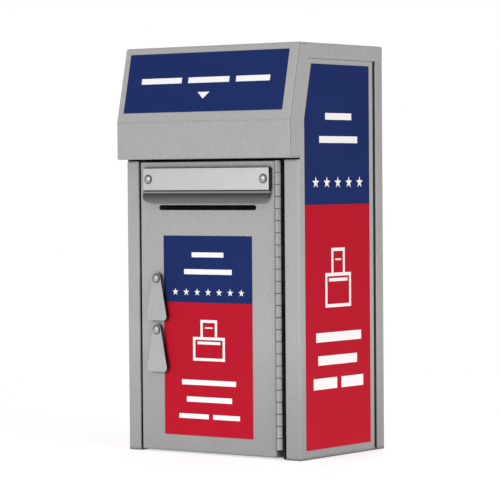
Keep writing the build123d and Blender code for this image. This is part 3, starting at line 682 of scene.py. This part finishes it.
def build_star_row():
    """A row of five-pointed stars, one point up, in the XY plane."""
    tree, start, end = geometry_tree(
        "Star row",
        [
            ("Count", "NodeSocketInt", 7),
            ("Pitch", NUMBER, 30 * MM),
            ("Radius", NUMBER, 6 * MM),
            ("Inner Share", NUMBER, 0.382),
            ("Ink", "NodeSocketMaterial", None),
        ],
    )
    line = tree.nodes.new("GeometryNodeMeshLine")
    step = tree.nodes.new("ShaderNodeCombineXYZ")
    star = tree.nodes.new("GeometryNodeCurveStar")
    fill = tree.nodes.new("GeometryNodeFillCurve")
    place = tree.nodes.new("GeometryNodeInstanceOnPoints")
    star.inputs["Points"].default_value = 5
    place.inputs["Rotation"].default_value = (0.0, 0.0, math.pi / 2)
    inner = maths(tree, "MULTIPLY", start.outputs["Radius"], start.outputs["Inner Share"])
    tree.links.new(start.outputs["Count"], line.inputs["Count"])
    tree.links.new(start.outputs["Pitch"], step.inputs["X"])
    tree.links.new(step.outputs["Vector"], line.inputs["Offset"])
    tree.links.new(start.outputs["Radius"], star.inputs["Outer Radius"])
    tree.links.new(inner, star.inputs["Inner Radius"])
    tree.links.new(star.outputs["Curve"], fill.inputs["Curve"])
    tree.links.new(line.outputs["Mesh"], place.inputs["Points"])
    tree.links.new(fill.outputs["Mesh"], place.inputs["Instance"])
    close_tree(tree, start, end, place.outputs["Instances"])
    return tree


def build_stripe_field():
    """A stripe on each point of the mesh, as long and high as the point's stripe_size."""
    tree, start, end = geometry_tree("Stripe field", [("Ink", "NodeSocketMaterial", None)])
    stripe = tree.nodes.new("GeometryNodeMeshGrid")
    size = tree.nodes.new("GeometryNodeInputNamedAttribute")
    size.data_type = "FLOAT_VECTOR"
    size.inputs["Name"].default_value = "stripe_size"
    place = tree.nodes.new("GeometryNodeInstanceOnPoints")
    for label, value in (("Size X", 1.0), ("Size Y", 1.0), ("Vertices X", 2), ("Vertices Y", 2)):
        stripe.inputs[label].default_value = value
    tree.links.new(start.outputs["Geometry"], place.inputs["Points"])
    tree.links.new(stripe.outputs["Mesh"], place.inputs["Instance"])
    tree.links.new(size.outputs["Attribute"], place.inputs["Scale"])
    close_tree(tree, start, end, place.outputs["Instances"])
    return tree


star_row = build_star_row()
stripe_field = build_stripe_field()


def grown(tree, base, values):
    """The plain mesh that the tree makes of the base mesh."""
    holder = bpy.data.objects.new("holder", base)
    bpy.context.scene.collection.objects.link(holder)
    modifier = holder.modifiers.new("tree", "NODES")
    modifier.node_group = tree
    sockets = {item.name: item.identifier for item in tree.interface.items_tree if item.in_out == "INPUT"}
    for label, value in values.items():
        modifier[sockets[label]] = value
    holder.update_tag()
    bpy.context.view_layer.update()
    graph = bpy.context.evaluated_depsgraph_get()
    mesh = bpy.data.meshes.new_from_object(holder.evaluated_get(graph), depsgraph=graph)
    bpy.data.objects.remove(holder)
    return mesh


def stars(middle, level, count, pitch, radius):
    """A row of stars round a middle, at a level."""
    values = {"Count": count, "Pitch": pitch, "Radius": radius, "Ink": white_print}
    mesh = grown(star_row, bpy.data.meshes.new("start"), values)
    mesh.transform(Matrix.Translation((middle - pitch * (count - 1) / 2, level, 0)))
    return mesh


def stripes(rows):
    """Stripes from rows of (left, right, bottom, top) in millimetres."""
    base = bpy.data.meshes.new("places")
    base.from_pydata([(MM * (a + b) / 2, MM * (c + d) / 2, 0) for a, b, c, d in rows], [], [])
    size = base.attributes.new("stripe_size", "FLOAT_VECTOR", "POINT")
    for slot, (left, right, bottom, top) in enumerate(rows):
        size.data[slot].vector = (MM * (right - left), MM * (top - bottom), 1.0)
    return grown(stripe_field, base, {"Ink": white_print})


STRIPE_SHARE = 0.46


def stripe_rows(rows):
    """Stripes from rows of (bottom, top, spans), each span one stripe of part of the row's height."""
    found = []
    for bottom, top, spans in rows:
        middle = (bottom + top) / 2
        half = (top - bottom) * STRIPE_SHARE / 2
        found += [(left, right, middle - half, middle + half) for left, right in spans]
    return found


def framed(left, right, bottom, top, line):
    """Four stripes round a rectangle."""
    return [
        (left, right, bottom, bottom + line),
        (left, right, top - line, top),
        (left, left + line, bottom + line, top - line),
        (right - line, right, bottom + line, top - line),
    ]


def paper_and_box(left, right, bottom, top, line):
    """A sheet of paper going into a box, as plain outlines."""
    box_share, paper_inset_share, slot_inset_share = 0.58, 0.24, 0.14
    width = right - left
    rim = bottom + box_share * (top - bottom)
    paper_left = left + paper_inset_share * width
    paper_right = right - paper_inset_share * width
    slot_left = left + slot_inset_share * width
    slot_right = right - slot_inset_share * width
    slot_top = rim - 1.6 * line
    writing = (rim + top) / 2
    return framed(left, right, bottom, rim, line) + [
        (paper_left, paper_right, top - line, top),
        (paper_left, paper_left + line, rim, top - line),
        (paper_right - line, paper_right, rim, top - line),
        (paper_left + 2 * line, paper_right - 2 * line, writing, writing + line / 2),
        (slot_left, slot_right, slot_top - line, slot_top),
    ]


def triangle(middle, base_level, tip_level, half_width):
    """A filled triangle that points down."""
    mesh = bpy.data.meshes.new("triangle")
    corners = [
        (middle - half_width, base_level, 0),
        (middle, tip_level, 0),
        (middle + half_width, base_level, 0),
    ]
    mesh.from_pydata(corners, [], [(0, 1, 2)])
    mesh.materials.append(white_print)
    return mesh


INK_HEIGHT = 0.12 * MM
WELD = 0.001 * MM


def printed_marks(name, meshes, across, up, origin, body):
    """One closed thin piece from flat meshes, laid on a sign."""
    outward = across.cross(up)
    place = Matrix.Translation(origin) @ Matrix((across, up, outward)).transposed().to_4x4()
    work = bmesh.new()
    for mesh in meshes:
        work.from_mesh(mesh)
    bmesh.ops.remove_doubles(work, verts=work.verts, dist=WELD)
    bmesh.ops.recalc_face_normals(work, faces=work.faces)
    for face in work.faces:
        if face.normal.z < 0:
            face.normal_flip()
    raised = bmesh.ops.extrude_face_region(work, geom=work.faces[:])
    top = [item for item in raised["geom"] if isinstance(item, bmesh.types.BMVert)]
    bmesh.ops.translate(work, verts=top, vec=(0, 0, INK_HEIGHT))
    bmesh.ops.recalc_face_normals(work, faces=work.faces)
    work.transform(place)
    mesh = bpy.data.meshes.new(name)
    work.to_mesh(mesh)
    work.free()
    mesh.materials.append(white_print)
    piece = bpy.data.objects.new(name, mesh)
    bpy.context.scene.collection.objects.link(piece)
    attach(piece, body)


X_AXIS = Vector((1, 0, 0))
Z_AXIS = Vector((0, 0, 1))


def mark_front_sign():
    """Marks on the door's sign, in millimetres from the left side of the box and from the ground."""
    rows = stripe_rows([
        (417, 440, [(179, 265)]),
        (380, 404, [(158, 287)]),
        (142, 166, [(150, 296)]),
        (105, 130, [(163, 285)]),
        (70, 92, [(142, 222), (234, 306)]),
    ])
    rows += paper_and_box(left=181, right=267, bottom=201, top=289, line=6)
    star_line = stars(middle=223 * MM, level=348 * MM, count=7, pitch=29.7 * MM, radius=8.4 * MM)
    sign_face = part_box("front_sign")[0][1]
    origin = Vector((body_left, sign_face, 0))
    printed_marks("front_sign_marks", [stripes(rows), star_line], X_AXIS, Z_AXIS, origin, "door")


def mark_side_signs():
    """Marks on both side signs, in millimetres behind the jamb face and from the ground."""
    rows = stripe_rows([
        (706, 737, [(96, 193)]),
        (657, 688, [(74, 215)]),
        (233, 276, [(58, 225)]),
        (184, 227, [(65, 209)]),
        (131, 182, [(48, 134), (150, 232)]),
    ])
    rows += paper_and_box(left=93, right=188, bottom=317, top=443, line=7)
    for name, node, facing in (
        ("right_side_sign_marks", "right_side_sign", 1),
        ("left_side_sign_marks", "left_side_sign", -1),
    ):
        low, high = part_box(node)
        face_x = high[0] if facing > 0 else low[0]
        start_y = door_face if facing > 0 else low[1] + high[1] - door_face
        star_line = stars(middle=141.5 * MM, level=581.5 * MM, count=5, pitch=40.6 * MM, radius=13.0 * MM)
        across = Vector((0, facing, 0))
        printed_marks(
            name, [stripes(rows), star_line], across, Z_AXIS, Vector((face_x, start_y, 0)), "cabinet"
        )


def mark_hood_sign():
    """Marks on the hood's sign, in millimetres from the left side of the box and up the slope."""
    slope_run, slope_rise, sign_thickness = 36, 161, 0.3 * MM
    rows = stripe_rows([(76, 103, [(56, 166), (184, 294), (312, 401)])])
    pointer = triangle(middle=229 * MM, base_level=63 * MM, tip_level=48.4 * MM, half_width=16 * MM)
    slope = Vector((0, slope_run, slope_rise)).normalized()
    origin = Vector((body_left, hood_face, knee_level)) + X_AXIS.cross(slope) * sign_thickness
    printed_marks("hood_sign_marks", [stripes(rows), pointer], X_AXIS, slope, origin, "cabinet")


mark_front_sign()
mark_side_signs()
mark_hood_sign()


# Floor, light and camera
def pale_floor():
    """A pale disc that fades out, so that the ground runs into the backdrop."""
    radius, drop = 3.0, 0.5 * MM
    fade_start, fade_end = 0.7, 2.4
    mesh = bpy.data.meshes.new("floor")
    work = bmesh.new()
    bmesh.ops.create_circle(work, cap_ends=True, radius=radius, segments=96)
    work.to_mesh(mesh)
    work.free()
    floor = bpy.data.objects.new("floor", mesh)
    bpy.context.scene.collection.objects.link(floor)
    floor.location.z = -drop
    finish = Finish("pale_floor", Metallic=0.0, Roughness=0.7)
    finish.color(gray(0.55))
    finish.shader.inputs["Emission Color"].default_value = gray(1.0)
    finish.shader.inputs["Emission Strength"].default_value = 0.62
    length = finish.tree.nodes.new("ShaderNodeVectorMath")
    length.operation = "LENGTH"
    finish.tree.links.new(finish.vector, length.inputs[0])
    fade = spread(finish.tree, length.outputs["Value"], fade_start, fade_end, to_low=1.0, to_high=0.0)
    finish.tree.links.new(fade, finish.shader.inputs["Alpha"])
    mesh.materials.append(finish.material)


def soft_light(name, place, target_level, size, energy, warmth=0.0):
    """A square area light aimed at the middle of the box at a level."""
    data = bpy.data.lights.new(name, "AREA")
    data.size = size
    data.energy = energy
    data.color = gray(1.0, warmth)[:3]
    light = bpy.data.objects.new(name, data)
    light.location = place
    aim = Vector((0, 0, target_level)) - Vector(place)
    light.rotation_euler = aim.to_track_quat("-Z", "Y").to_euler()
    bpy.context.scene.collection.objects.link(light)


def studio():
    """White backdrop, a soft key from the left, a fill from the right, and lights from above and behind."""
    light_from_backdrop, backdrop_in_view = 0.42, 1.0
    world = bpy.data.worlds.new("studio")
    bpy.context.scene.world = world
    world.use_nodes = True
    tree = world.node_tree
    background = tree.nodes["Background"]
    background.inputs["Color"].default_value = (1, 1, 1, 1)
    seen = tree.nodes.new("ShaderNodeLightPath").outputs["Is Camera Ray"]
    strength = spread(tree, seen, 0.0, 1.0, to_low=light_from_backdrop, to_high=backdrop_in_view)
    tree.links.new(strength, background.inputs["Strength"])
    soft_light("key", (-1.0, -4.4, 1.5), target_level=0.45, size=0.6, energy=66)
    soft_light("fill", (4.0, -0.9, 1.6), target_level=0.45, size=2.0, energy=67, warmth=0.05)
    soft_light("top", (0.2, -1.2, 3.2), target_level=0.5, size=2.0, energy=8)
    soft_light("rear", (-1.6, 3.6, 2.2), target_level=0.5, size=2.0, energy=26)
    bpy.context.scene.view_settings.view_transform = "Standard"


def photo_camera():
    """The camera that was fitted to the photograph."""
    yaw, pitch, roll = 0.642312, -0.02748, -0.007612
    place = (3.431186, -4.588813, 0.592974)
    forward = Vector((-math.sin(yaw) * math.cos(pitch), math.cos(yaw) * math.cos(pitch), math.sin(pitch)))
    level_right = Vector((math.cos(yaw), math.sin(yaw), 0))
    level_up = level_right.cross(forward)
    right = math.cos(roll) * level_right + math.sin(roll) * level_up
    up = math.cos(roll) * level_up - math.sin(roll) * level_right
    data = bpy.data.cameras.new("photo_camera")
    data.sensor_width = 36.0
    data.lens = 189.29
    camera = bpy.data.objects.new("photo_camera", data)
    turn = Matrix((right, up, -forward)).transposed().to_4x4()
    camera.matrix_world = Matrix.Translation(place) @ turn
    bpy.context.scene.collection.objects.link(camera)
    bpy.context.scene.camera = camera


pale_floor()
studio()
photo_camera()
